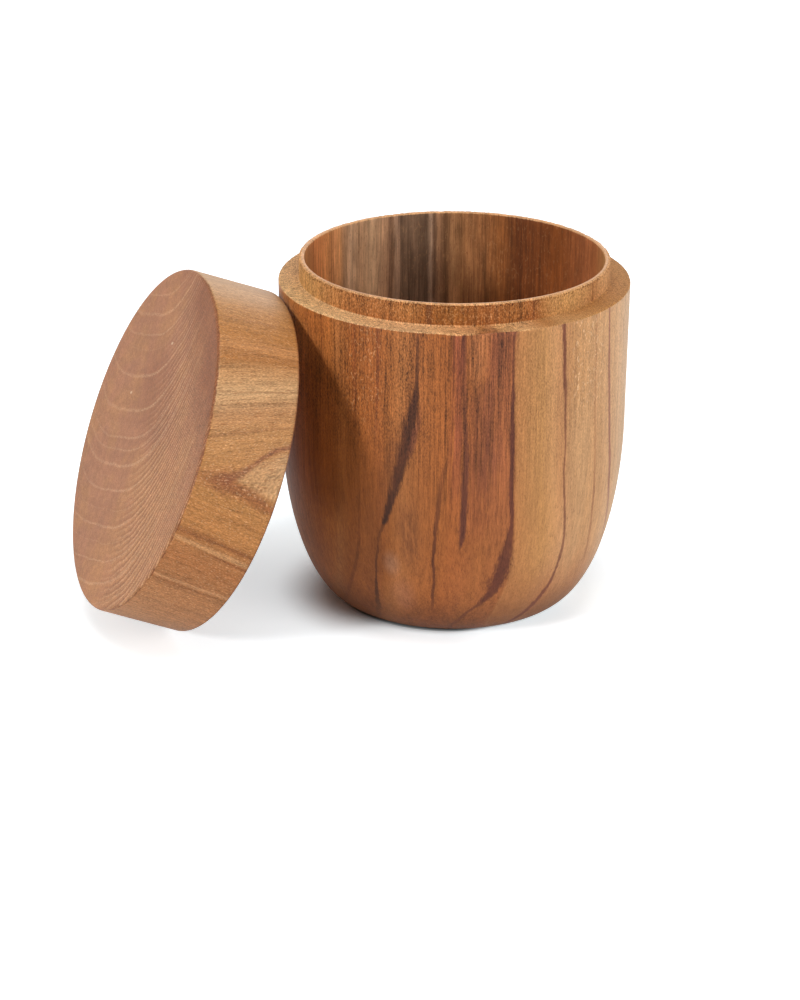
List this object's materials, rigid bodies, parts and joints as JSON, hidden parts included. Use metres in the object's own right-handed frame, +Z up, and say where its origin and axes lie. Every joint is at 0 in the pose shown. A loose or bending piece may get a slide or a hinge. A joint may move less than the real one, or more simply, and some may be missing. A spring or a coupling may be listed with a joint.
{
  "type": "storage jar",
  "caption": "Turned wooden storage jar with a rounded lower side and a thick lift-off lid that fits over a thin raised collar; the lid is off and leans on the jar.",
  "frame": {"origin": "centre of the jar body's flat foot, on the surface that the jar stands on", "axes": "+Z up along the jar body's axis, -Y towards the front, where the jar and its leaning lid both show, so that the lid leans on the -X side"},
  "size_m": [0.1606, 0.1241, 0.1019],
  "materials": {
    "jar_wood": "turned and sanded teak with an oiled, satin surface, grain upright",
    "lid_wood": "turned and sanded teak with an oiled, satin surface, end grain on the face"
  },
  "bodies": {
    "jar": {"jar_body": "jar_wood"},
    "lid": {"lid": "lid_wood"}
  },
  "joints": [
    {"name": "lid_lift", "type": "slide", "parent": "jar", "child": "lid", "axis": [0, 0, 1], "range_m": [0, 0.11]}
  ]
}
